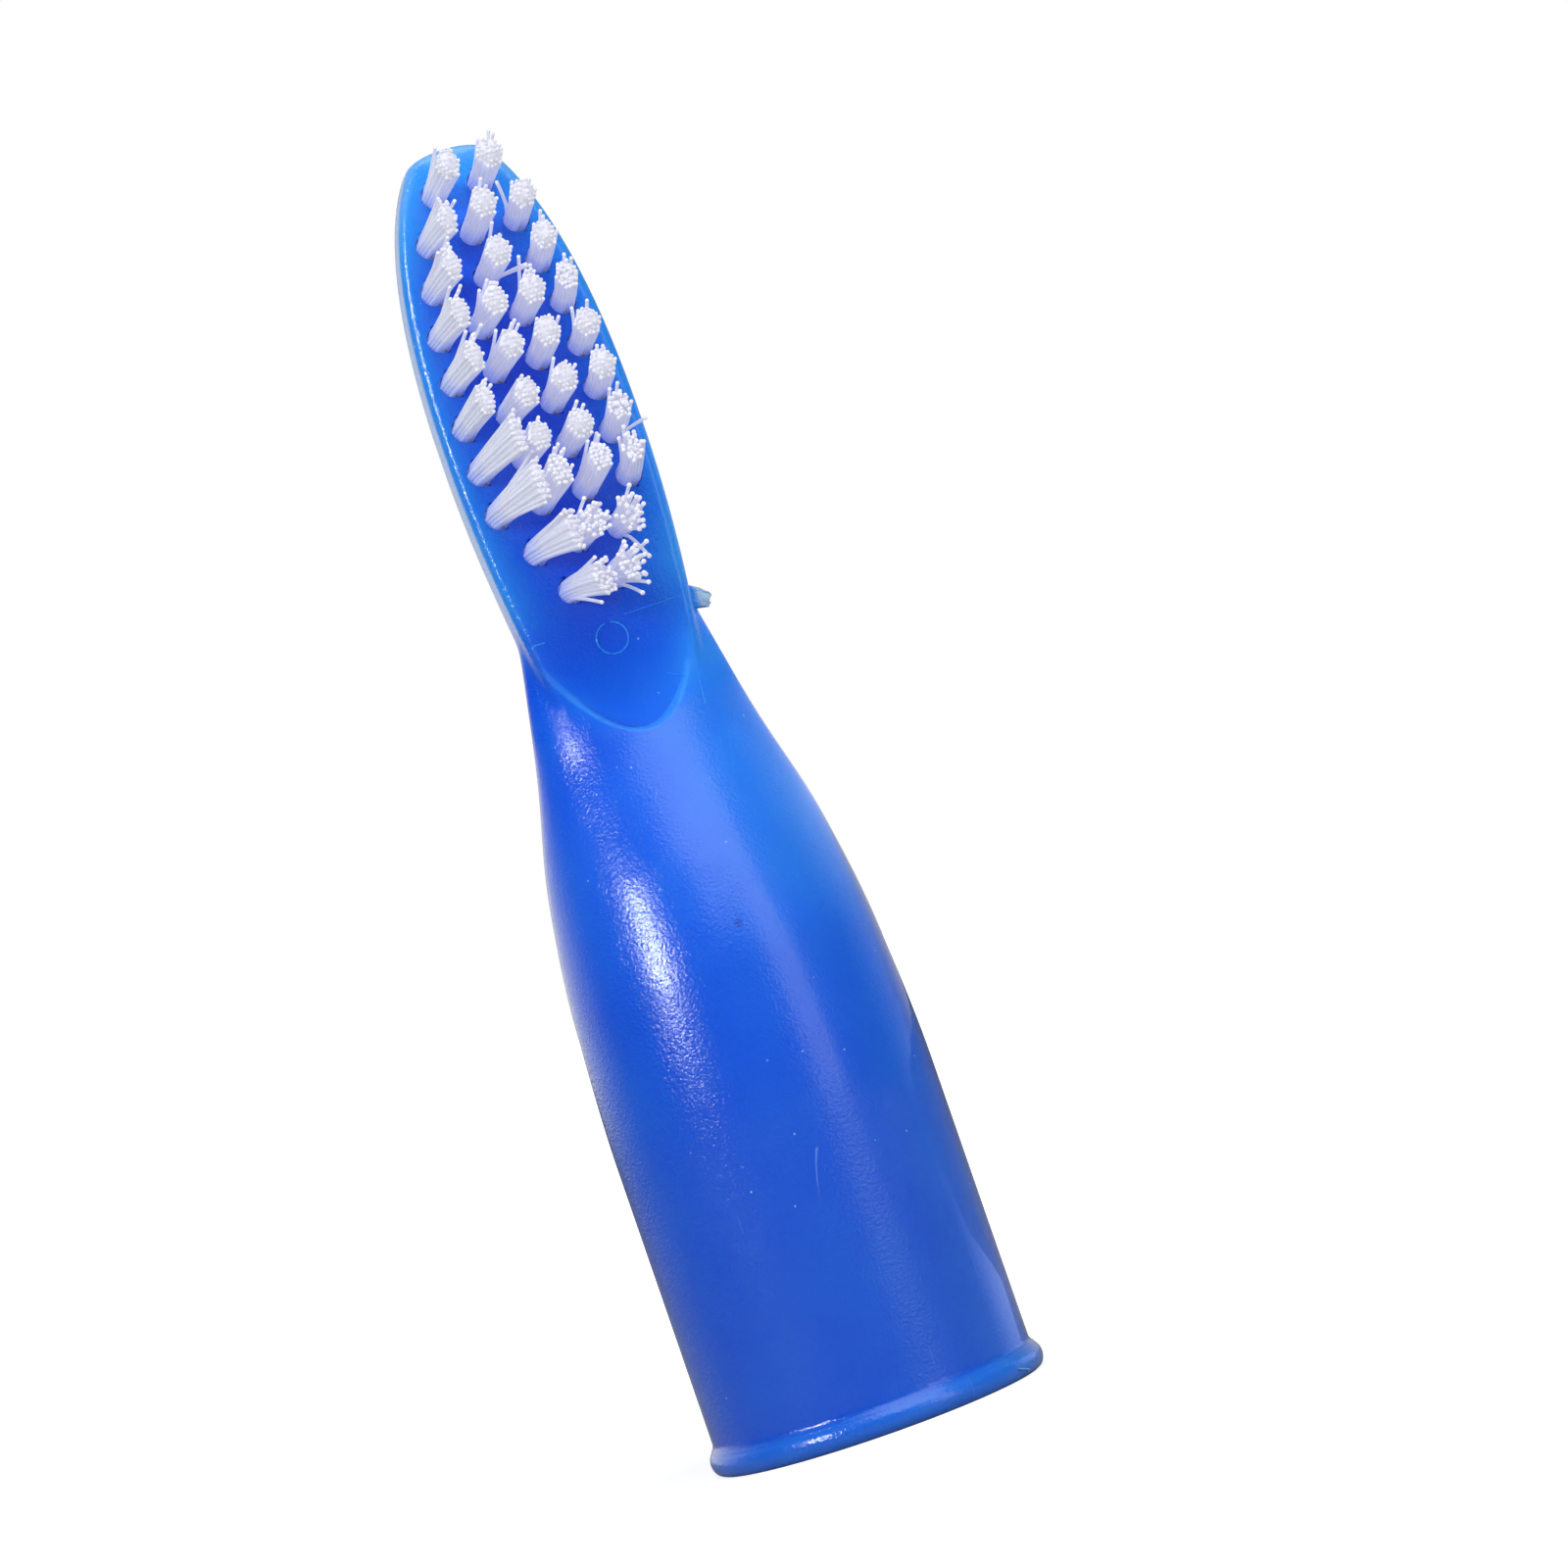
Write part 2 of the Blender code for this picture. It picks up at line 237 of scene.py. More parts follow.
def smoothstep(value, start, end):
    t = np.clip((value - start) / (end - start), 0, 1)
    return t * t * (3 - 2 * t)


def lean_shift(z):
    """How far the head is set back at height z: nothing on the sleeve, then a straight lean."""
    over = np.maximum(0.0, z - LEAN_START)
    bend = over**2 / (2 * LEAN_BLEND)
    return math.tan(LEAN) * np.where(over < LEAN_BLEND, bend, over - LEAN_BLEND / 2)


def squared_ellipse(angles, side, depth, power):
    """Distance from the centre to a superellipse, for each angle."""
    across = np.abs(np.cos(angles)) / side
    along = np.abs(np.sin(angles)) / depth
    return (across**power + along**power) ** (-1 / power)


def rounded_box(angles, side, depth, corner):
    """Distance from the centre to a rounded rectangle, for each angle."""
    corner = np.minimum(corner, 0.98 * np.minimum(side, depth))
    cosine = np.maximum(np.abs(np.cos(angles)), 1e-9)
    sine = np.maximum(np.abs(np.sin(angles)), 1e-9)
    centre_x = side - corner
    centre_y = depth - corner
    to_side = side / cosine
    to_face = depth / sine
    along = cosine * centre_x + sine * centre_y
    inside = np.maximum(along**2 - centre_x**2 - centre_y**2 + corner**2, 0)
    to_corner = along + np.sqrt(inside)
    on_face = to_face * cosine < centre_x
    on_side = to_side * sine < centre_y
    return np.where(on_face, to_face, np.where(on_side, to_side, to_corner))


def shoulder_section(angles, z, inset=0.0):
    """The tube's outline at height z, which goes from round to a flattened oval at the neck."""
    side = smooth_curve(SHOULDER_SIDE, z) - inset
    front = smooth_curve(SHOULDER_FRONT, z) - inset
    back = smooth_curve(SHOULDER_BACK, z) - inset
    squareness = np.where(np.sin(angles) < 0, FRONT_SQUARENESS, BACK_SQUARENESS)
    power = 2 + (squareness - 2) * smoothstep(z, SQUARE_FROM, SQUARE_TO)
    depth = np.where(np.sin(angles) < 0, front, back)
    return squared_ellipse(angles, side, depth, power)


def leaf_half_width(z):
    """Half the brush head's width at height z: a curve down to the neck, and a rounder one to the tip."""
    if z < WIDEST_AT:
        share = (WIDEST_AT - z) / (WIDEST_AT - NECK_HEIGHT)
        return HEAD_HALF_WIDTH - (HEAD_HALF_WIDTH - NECK_HALF_WIDTH) * share**2
    return HEAD_HALF_WIDTH * math.sqrt(1 - ((z - WIDEST_AT) / LEAF_REACH) ** LEAF_POWER)


def head_section(angles, z):
    """The flat head's outline at height z, drawn in where its end is rounded."""
    over = max(0.0, z - (HEAD_TOP - END_ROUND)) / END_ROUND
    closing = math.sqrt(max(0.0, 1 - over**2))
    drop = END_ROUND * (1 - closing)
    side = leaf_half_width(z) * max(closing, END_CLOSING_LEAST) ** END_CLOSING_POWER
    corner = np.where(np.sin(angles) < 0, FACE_EDGE_RADIUS, BACK_EDGE_RADIUS)
    return rounded_box(angles, side, HALF_THICKNESS - drop, corner)


def lip_radius(z):
    """The rolled lip: a half-round bead with a small fillet into the sleeve above it."""
    middle = LIP_HEIGHT / 2
    bulge = LIP_PROUD * math.sqrt(max(0.0, 1 - ((z - middle) / (middle + LIP_FOOT)) ** 2))
    fillet = LIP_FILLET_DEPTH * max(0.0, 1 - abs(z - LIP_HEIGHT) / LIP_FILLET) ** 2
    larger = (bulge + fillet + math.hypot(bulge - fillet, LIP_BLEND)) / 2
    return SLEEVE_RADIUS + larger - LIP_BLEND / 2


def outer_section(angles, z):
    """The body's outline at height z. At the neck it is the larger of tube and head, smoothed."""
    if z < LIP_HEIGHT + LIP_FILLET:
        return np.full(angles.shape, lip_radius(z))
    if z < HEAD_START:
        return shoulder_section(angles, z)
    if z > SHOULDER_TOP:
        return head_section(angles, z)
    tube = shoulder_section(angles, z)
    slab = head_section(angles, z)
    blend = NECK_BLEND * smoothstep(z, HEAD_START, HEAD_START + NECK_BLEND_RISE)
    blend *= 1 - smoothstep(z, NECK_BLEND_END, SHOULDER_TOP)
    return (tube + slab + np.sqrt((tube - slab) ** 2 + blend**2)) / 2


def cavity_section(angles, z):
    """The finger cavity's outline at height z, closing in at its rounded end."""
    chamfer = MOUTH_CHAMFER * max(0.0, 1 - max(z, 0.0) / MOUTH_CHAMFER)
    radius = shoulder_section(angles, z, WALL) + chamfer
    over = max(0.0, z - CAVITY_ROUND_START) / (CAVITY_TOP - CAVITY_ROUND_START)
    return radius * math.sqrt(max(0.0, 1 - over**CAVITY_ROUND_POWER))


def ring_points(section, z):
    """The outline at height z as AROUND points, evenly spaced along it."""
    angles = np.linspace(0, 2 * math.pi, FINE_ANGLES + 1)
    radius = section(angles, z)
    x = radius * np.cos(angles)
    y = radius * np.sin(angles)
    length = np.concatenate([[0], np.cumsum(np.hypot(np.diff(x), np.diff(y)))])
    at = np.linspace(0, length[-1], AROUND, endpoint=False)
    return np.stack([np.interp(at, length, x), np.interp(at, length, y), np.full(AROUND, z)], axis=1)


def open_pocket(points):
    """Lays the front inside the parabola down to the flat face, with a rounded wall round it."""
    x, y, z = points.T
    below = (z - POCKET_BOTTOM) - x**2 / POCKET_SPREAD
    distance = below / np.sqrt(1 + (2 * x / POCKET_SPREAD) ** 2)
    share = smoothstep(distance, 0.0, POCKET_WALL) * (z < SHOULDER_TOP)
    floor = -HALF_THICKNESS + POCKET_FLOOR_STEP * smoothstep(z, POCKET_STEP_START, POCKET_STEP_END)
    points[:, 1] = np.where(y < floor, y + share * (floor - y), y)
    return points


def spaced(start, end, step):
    """Even steps of about this size from start up to, but without, the end."""
    return list(np.linspace(start, end, max(2, int(round((end - start) / step)) + 1))[:-1])


def outer_heights():
    lip = spaced(0.0, LIP_HEIGHT, LIP_STEP)
    fillet = spaced(LIP_HEIGHT, LIP_HEIGHT + LIP_FILLET, FILLET_STEP)
    sleeve = spaced(LIP_HEIGHT + LIP_FILLET, STRAIGHT_TOP, SLEEVE_STEP)
    shoulder = spaced(STRAIGHT_TOP, NECK_START, SHOULDER_STEP)
    neck = spaced(NECK_START, NECK_END, NECK_STEP)
    head = spaced(NECK_END, HEAD_TOP - END_ROUND, HEAD_STEP)
    turns = np.linspace(0, math.pi / 2, END_STEPS)[:-1]
    end = [HEAD_TOP - END_ROUND + END_ROUND * math.sin(turn) for turn in turns]
    return lip + fillet + sleeve + shoulder + neck + head + end


def cavity_heights():
    chamfer = spaced(0.0, MOUTH_CHAMFER, CHAMFER_STEP)
    wall = spaced(MOUTH_CHAMFER, CAVITY_ROUND_START, CAVITY_STEP)
    rounding = CAVITY_TOP - CAVITY_ROUND_START
    turns = np.linspace(0, math.pi / 2, DOME_STEPS)[:-1]
    dome = [CAVITY_TOP - rounding * (1 - math.sin(turn)) for turn in turns]
    return chamfer + wall + dome


def link(name, data):
    made = bpy.data.objects.new(name, data)
    bpy.context.scene.collection.objects.link(made)
    return made


def body_object():
    """The moulding without its holes: one skin from the cavity's end, round the mouth and up to the tip."""
    outer = [open_pocket(ring_points(outer_section, z)) for z in outer_heights()]
    inner = [ring_points(cavity_section, z) for z in cavity_heights()]
    rings = inner[::-1] + outer
    points = np.concatenate(rings)
    points[:, 1] += lean_shift(points[:, 2])
    first = np.arange(AROUND)
    second = np.roll(first, -1)
    faces = []
    for lower in range(len(rings) - 1):
        a = lower * AROUND
        b = a + AROUND
        faces += np.stack([a + first, a + second, b + second, b + first], axis=1).tolist()
    faces.append(list(range(AROUND - 1, -1, -1)))
    faces.append(list(range(len(points) - AROUND, len(points))))
    mesh = bpy.data.meshes.new("moulded_body")
    mesh.from_pydata((points * MM).tolist(), [], faces)
    mesh.validate()
    return link("moulded_body", mesh)


def face_frame(x, z):
    """Placement on the brush face at (x, z), with Z pointing out along its normal."""
    origin = Vector((x, -HALF_THICKNESS + float(lean_shift(z)), z))
    return Matrix.Translation(origin) @ Matrix.Rotation(math.pi / 2 - LEAN, 4, "X")


def tuft_frames():
    """The frame of each CAD tuft: the point of the face that its axis goes through."""
    middle = (TUFT_HEIGHT - HOLE_DEPTH + TUFT_FLOOR_GAP) / 2
    frames = {}
    for name in sorted(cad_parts):
        if name.startswith("tuft"):
            low, high = (np.array(corner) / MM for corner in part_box(name))
            x, _, z = (low + high) / 2
            frames[name] = face_frame(x, z - middle * math.sin(LEAN))
    return frames


def to_object(name, bm):
    """Turns a bmesh in millimetres into an object in metres."""
    bmesh.ops.scale(bm, vec=(MM, MM, MM), verts=bm.verts)
    bmesh.ops.recalc_face_normals(bm, faces=bm.faces)
    mesh = bpy.data.meshes.new(name)
    bm.to_mesh(mesh)
    bm.free()
    return link(name, mesh)


def hole_cutter(frames):
    """A cylinder for each blind hole, which starts above the face."""
    bm = bmesh.new()
    middle = Matrix.Translation((0, 0, (HOLE_CLEARANCE - HOLE_DEPTH) / 2))
    for placement in frames.values():
        bmesh.ops.create_cone(
            bm,
            cap_ends=True,
            segments=HOLE_SIDES,
            radius1=HOLE_RADIUS,
            radius2=HOLE_RADIUS,
            depth=HOLE_CLEARANCE + HOLE_DEPTH,
            matrix=placement @ middle,
        )
    return to_object("holes", bm)


def slit_cutter(frames):
    """The slit that each driven anchor leaves on both sides of its hole."""
    bm = bmesh.new()
    size = Matrix.Diagonal((SLIT_WIDTH, SLIT_LENGTH, 2 * SLIT_DEPTH, 1.0))
    for placement in frames.values():
        turned = placement @ Matrix.Rotation(ANCHOR_TURN, 4, "Z")
        bmesh.ops.create_cube(bm, size=1.0, matrix=turned @ size)
    return to_object("slits", bm)


def surface_point(body, x, z):
    """Where the moulding's front is at (x, z)."""
    return body.ray_cast(Vector((x, IN_FRONT, z)) * MM, Vector((0, 1, 0)))[1] / MM


def add_ridge(body, corners, radius):
    """A hair-fine uneven ridge along a path of (x, z) corners on the front, with painted light that makes it
    look lighter.
    """
    rng = random.Random(SEED)
    rings = []
    for start, end in zip(corners, corners[1:]):
        steps = max(2, round(math.dist(start, end) / RIDGE_STEP))
        for i in range(steps):
            x, z = (a + (b - a) * i / steps for a, b in zip(start, end))
            centre = surface_point(body, x, z)
            rings.append((centre, radius * rng.uniform(0.5, 1.3), RIDGE_PAINTED_LIGHT))
    bm = bmesh.new()
    # The ridge carries painted light that makes it look lighter.
    add_tube(bm, bm.verts.layers.float.new("painted_light"), rings, 6)
    combine(body, to_object("ridge", bm), "UNION")


def arc(centre, radius, start, sweep, steps=40):
    """Corners along part of a circle, with its start and sweep in degrees."""
    turns = [math.radians(start + sweep * i / steps) for i in range(steps + 1)]
    return [(centre[0] + radius * math.cos(t), centre[1] + radius * math.sin(t)) for t in turns]


def gate_lump():
    """The broken gate's rough stub: a block that gets thinner and rougher towards its broken end."""
    bm = bmesh.new()
    bmesh.ops.create_cube(bm, size=1.0)
    bmesh.ops.subdivide_edges(bm, edges=bm.edges, cuts=5, use_grid_fill=True)
    rng = random.Random(SEED)
    for vert in bm.verts:
        out = vert.co.x + 0.5
        vert.co.y *= 1 - 0.3 * out
        vert.co.z *= 1.1 - 0.55 * out**2
        jitter = Vector((rng.uniform(-1, 1), rng.uniform(-1, 1), rng.uniform(-1, 1)))
        vert.co += jitter * GATE_ROUGHNESS * (0.3 + out)
    placement = Matrix.Translation(GATE_PLACE) @ Matrix.Rotation(GATE_DROOP, 4, "Y")
    bmesh.ops.transform(bm, matrix=placement @ Matrix.Diagonal((*GATE_SIZE, 1.0)), verts=bm.verts)
    return to_object("gate", bm)


def combine(target, other, operation):
    """Applies a Boolean to the target's mesh and removes the other object."""
    modifier = target.modifiers.new(other.name, "BOOLEAN")
    modifier.operation = operation
    modifier.solver = "MANIFOLD"
    modifier.object = other
    graph = bpy.context.evaluated_depsgraph_get()
    mesh = bpy.data.meshes.new_from_object(target.evaluated_get(graph), depsgraph=graph)
    target.modifiers.clear()
    target.data = mesh
    bpy.data.objects.remove(other, do_unlink=True)


def make_body(frames):
    body = body_object()
    combine(body, hole_cutter(frames), "DIFFERENCE")
    combine(body, slit_cutter(frames), "DIFFERENCE")
    for corners, radius in RIDGES:
        add_ridge(body, corners, radius)
    ring = arc(EJECTOR_PLACE, EJECTOR_RADIUS, EJECTOR_START, EJECTOR_SWEEP)
    add_ridge(body, ring, EJECTOR_RIDGE)
    combine(body, gate_lump(), "UNION")
    body.data.shade_smooth()
    body.data.set_sharp_from_angle(angle=SHARP_ANGLE)
    return body


# A tuft's form: its tips' shift in X and Z, how far they fan out in X and Z, and how loose they are
TuftForm = namedtuple("TuftForm", "shift_x shift_z fan_x fan_z loose")
# Tufts bent by use
WORN = {
    "tuft_r04_c4": TuftForm(-0.5, 0.2, 0.95, 1.3, 0.1),
    "tuft_r07_c1": TuftForm(1.85, 0.6, 0.55, 1.9, 0.05),
    "tuft_r07_c4": TuftForm(-0.35, 0.3, 1.0, 1.25, 0.3),
    "tuft_r08_c1": TuftForm(2.05, 0.4, 0.6, 2.0, 0.05),
    "tuft_r08_c2": TuftForm(0.6, 0.6, 0.95, 1.6, 0.15),
    "tuft_r08_c3": TuftForm(0.3, 0.65, 0.95, 1.4, 0.15),
    "tuft_r08_c4": TuftForm(-0.5, 0.45, 0.85, 1.35, 0.6),
    "tuft_r09_c1": TuftForm(1.55, -0.2, 0.6, 1.95, 0.15),
    "tuft_r09_c2": TuftForm(0.15, -0.05, 1.25, 1.5, 0.7),
    "tuft_r09_c3": TuftForm(-0.3, -0.3, 1.0, 1.5, 1.0),
    "tuft_r10_c1": TuftForm(1.0, -0.65, 0.9, 1.6, 0.4),
    "tuft_r10_c2": TuftForm(0.1, -0.45, 1.1, 1.6, 1.0),
}
# How many filaments stand off from their tuft's upper edge
COMBED = {
    "tuft_r01_c1": 3,
    "tuft_r02_c2": 4,
    "tuft_r02_c3": 1,
    "tuft_r03_c1": 3,
    "tuft_r03_c2": 2,
    "tuft_r04_c1": 3,
    "tuft_r04_c3": 4,
    "tuft_r05_c1": 4,
    "tuft_r05_c2": 6,
    "tuft_r06_c1": 4,
    "tuft_r06_c2": 2,
    "tuft_r08_c3": 3,
}
# Single filaments that stray far, as their tips' shifts in X and Z
STRAYS = {
    "tuft_r02_c3": ((-0.75, 0.6),),
    "tuft_r03_c2": ((1.0, -0.9), (0.75, -0.75), (0.1, 0.9)),
    "tuft_r04_c3": ((-0.1, 1.2),),
    "tuft_r05_c1": ((0.7, 0.9),),
    "tuft_r07_c2": ((-0.5, 0.5),),
    "tuft_r07_c4": ((0.75, -0.75),),
    "tuft_r08_c1": ((-0.1, -0.35),),
    "tuft_r09_c3": ((0.1, -1.9),),
    "tuft_r10_c1": ((-0.4, -0.6),),
    "tuft_r10_c2": ((0.0, -0.9), (0.25, -0.5)),
}


def filament_offsets():
    """Centres of a hexagonal bundle, as unit spacings."""
    spots = []
    for q in range(-FILAMENT_RINGS, FILAMENT_RINGS + 1):
        for r in range(-FILAMENT_RINGS, FILAMENT_RINGS + 1):
            if abs(q + r) <= FILAMENT_RINGS:
                spots.append(Vector((q + r / 2, r * math.sqrt(3) / 2)))
    return spots


def close_rows(bm, rows):
    """Skins rows of points into a closed tube."""
    for lower, upper in zip(rows, rows[1:]):
        for k in range(len(lower)):
            j = (k + 1) % len(lower)
            bm.faces.new((lower[k], lower[j], upper[j], upper[k]))
    bm.faces.new(rows[0][::-1])
    bm.faces.new(rows[-1])


def add_tube(bm, layer, rings, sides):
    """A closed round tube through (centre, radius, value for the layer)."""
    rows = []
    side = Vector((1, 0, 0))
    for i, (centre, wide, value) in enumerate(rings):
        before = rings[max(0, i - 1)][0]
        after = rings[min(len(rings) - 1, i + 1)][0]
        along = (after - before).normalized()
        side = (side - along * side.dot(along)).normalized()
        other = along.cross(side)
        row = []
        for k in range(sides):
            turn = 2 * math.pi * k / sides
            vert = bm.verts.new(centre + (side * math.cos(turn) + other * math.sin(turn)) * wide)
            vert[layer] = value
            row.append(vert)
        rows.append(row)
    close_rows(bm, rows)


def tuft_axis(height, tuft):
    """Centre of a bent tuft at this height, and the directions across (X), across (Z) of it there."""
    up = max(0.0, height) / TUFT_HEIGHT
    lean = Vector((tuft.shift_x, tuft.shift_z, 0))
    sink = SINK * lean.length_squared / TUFT_HEIGHT * up**SINK_POWER
    centre = lean * up**LEAN_POWER + Vector((0, 0, height - sink))
    slope = lean * LEAN_POWER * up ** (LEAN_POWER - 1) / TUFT_HEIGHT
    along = (slope + Vector((0, 0, 1))).normalized()
    across_x = (Vector((1, 0, 0)) - along * along.x).normalized()
    return centre, across_x, along.cross(across_x)


def fan_out(height, tuft):
    """How many times wider than at the face the tuft is at this height, in X and Z."""
    share = (max(0.0, height) / TUFT_HEIGHT) ** FAN_POWER
    return Vector((1 + (tuft.fan_x - 1) * share, 1 + (tuft.fan_z - 1) * share))


def add_filament(bm, layer, placement, spot, tuft, rng, sway, curve=1.8):
    """One filament from inside its hole to its rounded, slightly swollen tip."""
    turned = Matrix.Rotation(-ANCHOR_TURN, 2) @ spot
    beside_anchor = abs(turned.x) > LOBE_GAP
    side = math.copysign(1, turned.x) if beside_anchor else rng.choice((-1, 1))
    lobe = Matrix.Rotation(ANCHOR_TURN, 2) @ Vector((side * LOBE_SHIFT, 0))
    length = TUFT_HEIGHT + rng.gauss(0, 0.03 + 0.09 * tuft.loose)
    rings = []
    for step in range(FILAMENT_STEPS + 1):
        height = FILAMENT_FOOT + (length - FILAMENT_FOOT) * step / FILAMENT_STEPS
        up = max(0.0, height) / TUFT_HEIGHT
        centre, across_x, across_y = tuft_axis(height, tuft)
        offset = spot * fan_out(height, tuft) * FILAMENT_SPACING
        offset += lobe * (1 - float(smoothstep(height, *LOBE_FADE)))
        offset += sway * up**curve
        point = centre + across_x * offset.x + across_y * offset.y
        rings.append((placement @ point, FILAMENT_RADIUS, height))
    swell = 1.03 + 0.34 * tuft.loose + rng.uniform(0, 0.06)
    dome = FILAMENT_RADIUS * min(1.0, 0.35 + tuft.loose)
    ahead = (rings[-1][0] - rings[-2][0]).normalized()
    tip = rings[-1][0]
    for far, wide in ((0.5, swell), (1.2, swell), (1.7, 0.8 * swell), (1.9, 0.4 * swell)):
        rings.append((tip + ahead * dome * far, FILAMENT_RADIUS * wide, TUFT_HEIGHT))
    add_tube(bm, layer, rings, FILAMENT_SIDES)


def add_core(bm, layer, placement, tuft):
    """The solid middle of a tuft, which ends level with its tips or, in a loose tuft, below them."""
    top = TUFT_HEIGHT + 0.04 - 1.1 * tuft.loose
    rows = []
    for i, height in enumerate(np.linspace(CORE_FOOT, top, CORE_ROWS)):
        centre, across_x, across_y = tuft_axis(height, tuft)
        radius = FILAMENT_SPACING * (CORE_RADIUS if i else CORE_FOOT_RADIUS)
        half_x, half_y = radius * fan_out(height, tuft)
        row = []
        for k in range(CORE_SIDES):
            turn = 2 * math.pi * k / CORE_SIDES
            point = centre + across_x * half_x * math.cos(turn) + across_y * half_y * math.sin(turn)
            vert = bm.verts.new(placement @ point)
            vert[layer] = height
            row.append(vert)
        rows.append(row)
    close_rows(bm, rows)


def upright_form(x, rng):
    """The form of a tuft that use has not bent. Near the left edge it fans out less in X and more in Z."""
    left = float(smoothstep(-x, 0.5, 3.5))
    return TuftForm(
        shift_x=-0.13 * (x - 0.5) + rng.gauss(0, 0.06),
        shift_z=0.1 + rng.gauss(0, 0.1),
        fan_x=1.15 - 0.4 * left,
        fan_z=rng.uniform(1.28, 1.45) + 0.15 * left,
        loose=0.0,
    )


def make_tuft(name, placement, rng):
    """A tuft of single filaments, some of them combed up at its upper edge or strayed."""
    upright = upright_form(placement.translation.x, rng)
    tuft = WORN.get(name, upright)
    bm = bmesh.new()
    layer = bm.verts.layers.float.new("height")
    spots = filament_offsets()
    upper = sorted(range(len(spots)), key=lambda i: -spots[i].y - 0.4 * rng.random())[:10]
    combed = set(rng.sample(upper, COMBED.get(name, rng.choice((2, 3, 3, 4)))))
    loosened = 0.025 + 0.12 * tuft.loose
    for i, spot in enumerate(spots):
        jitter = Vector((rng.gauss(0, 0.07), rng.gauss(0, 0.07)))
        sway = Vector((rng.gauss(0, loosened), rng.gauss(0, loosened)))
        if i in combed:
            sway += Vector((rng.gauss(0.1, 0.2), rng.uniform(0.15, 0.6)))
        add_filament(bm, layer, placement, spot + jitter, tuft, rng, sway)
    for stray in STRAYS.get(name, ()):
        sway = Vector(stray)
        add_filament(bm, layer, placement, sway.normalized() * STRAY_RIM, tuft, rng, sway, STRAY_CURVE)
    if tuft.loose < CORE_LOOSEST:
        add_core(bm, layer, placement, tuft)
    made = to_object(name.replace("tuft", "bristles"), bm)
    made.data.shade_smooth()
    return made


def make_flash_curl():
    """A hair of moulding flash that lies against the lip and hooks back, coloured with painted light as if
    light shone through it.
    """
    bm = bmesh.new()
    layer = bm.verts.layers.float.new("painted_light")
    rings = []
    for i in range(CURL_STEPS + 1):
        t = i / CURL_STEPS
        turn = CURL_TURN * t
        out = SLEEVE_RADIUS + LIP_PROUD - 0.12 + 0.3 * math.sin(turn)
        swing = CURL_AZIMUTH + 0.055 * (1 - math.cos(turn))
        centre = Vector((out * math.sin(swing), -out * math.cos(swing), 0.75 - 0.55 * t))
        # Painted light: the curl is coloured as if light shone through it.
        rings.append((centre, CURL_RADIUS * (1 - 0.3 * t), CURL_PAINTED_LIGHT))
    add_tube(bm, layer, rings, 8)
    curl = to_object("flash_curl", bm)
    curl.data.shade_smooth()
    return curl


# Materials


class Nodes:
    """Short calls for building the node tree of a material or world."""

    def __init__(self, owner):
        self.owner = owner
        owner.use_nodes = True
        self.tree = owner.node_tree

    def add(self, kind, settings=None, **values):
        node = self.tree.nodes.new(kind)
        for key, value in (settings or {}).items():
            setattr(node, key, value)
        for key, value in values.items():
            self.put(value, node.inputs[key.replace("_", " ")])
        return node

    def put(self, value, socket):
        if isinstance(value, bpy.types.NodeSocket):
            self.tree.links.new(value, socket)
        else:
            socket.default_value = value

    def maths(self, operation, a, b=0.0, c=0.0):
        node = self.tree.nodes.new("ShaderNodeMath")
        node.operation = operation
        for socket, value in zip(node.inputs, (a, b, c)):
            self.put(value, socket)
        return node.outputs[0]

    def hypot(self, a, b):
        squares = (self.maths("MULTIPLY", side, side) for side in (a, b))
        return self.maths("POWER", self.maths("ADD", *squares), 0.5)

    def place_axes(self):
        return self.add("ShaderNodeSeparateXYZ", Vector=self.place()).outputs

    def noise(self, scale, detail=3.0, roughness=0.5, vector=None):
        node = self.add("ShaderNodeTexNoise", Scale=scale, Detail=detail, Roughness=roughness)
        self.put(vector or self.place(), node.inputs["Vector"])
        return node.outputs["Fac"]

    def place(self):
        return self.add("ShaderNodeTexCoord").outputs["Object"]

    def remap(self, value, low, high, to_low=0.0, to_high=1.0):
        node = self.tree.nodes.new("ShaderNodeMapRange")
        names = ("Value", "From Min", "From Max", "To Min", "To Max")
        for key, item in zip(names, (value, low, high, to_low, to_high)):
            self.put(item, node.inputs[key])
        return node.outputs["Result"]

    def mix(self, share, a, b):
        node = self.tree.nodes.new("ShaderNodeMix")
        node.data_type = "RGBA"
        for socket, value in ((node.inputs[0], share), (node.inputs[6], a), (node.inputs[7], b)):
            self.put(value, socket)
        return node.outputs[2]

    def bump(self, height, distance, strength=1.0, normal=None):
        node = self.add("ShaderNodeBump", Height=height, Distance=distance, Strength=strength)
        if normal is not None:
            self.put(normal, node.inputs["Normal"])
        return node.outputs["Normal"]

    def finish(self, **values):
        shader = self.tree.nodes["Principled BSDF"]
        for key, value in values.items():
            self.put(value, shader.inputs[key.replace("_", " ")])
        return self.owner


# Colours, and the fleck's place as (x, z)
DEEP_BLUE = (0.003, 0.06, 0.78, 1.0)
# The next four colours are painted light and shade: a clearer blue, a pale blue for the pocket's edge line
# and a frost for light shown through the plastic, and a darker blue for shade towards the mouth.
LIT_THROUGH_BLUE = (0.04, 0.35, 1.0, 1.0)
EDGE_LIGHT_BLUE = (0.07, 0.42, 1.0, 1.0)
LIT_THROUGH_FROST = (0.5, 0.68, 1.0, 1.0)
MOUTH_SHADE_BLUE = (0.002, 0.07, 0.42, 1.0)
FLECK = (0.003, 0.04, 0.3, 1.0)
FLECK_PLACE = (0.2, 30.5)
DUST = (0.35, 0.62, 0.98, 1.0)
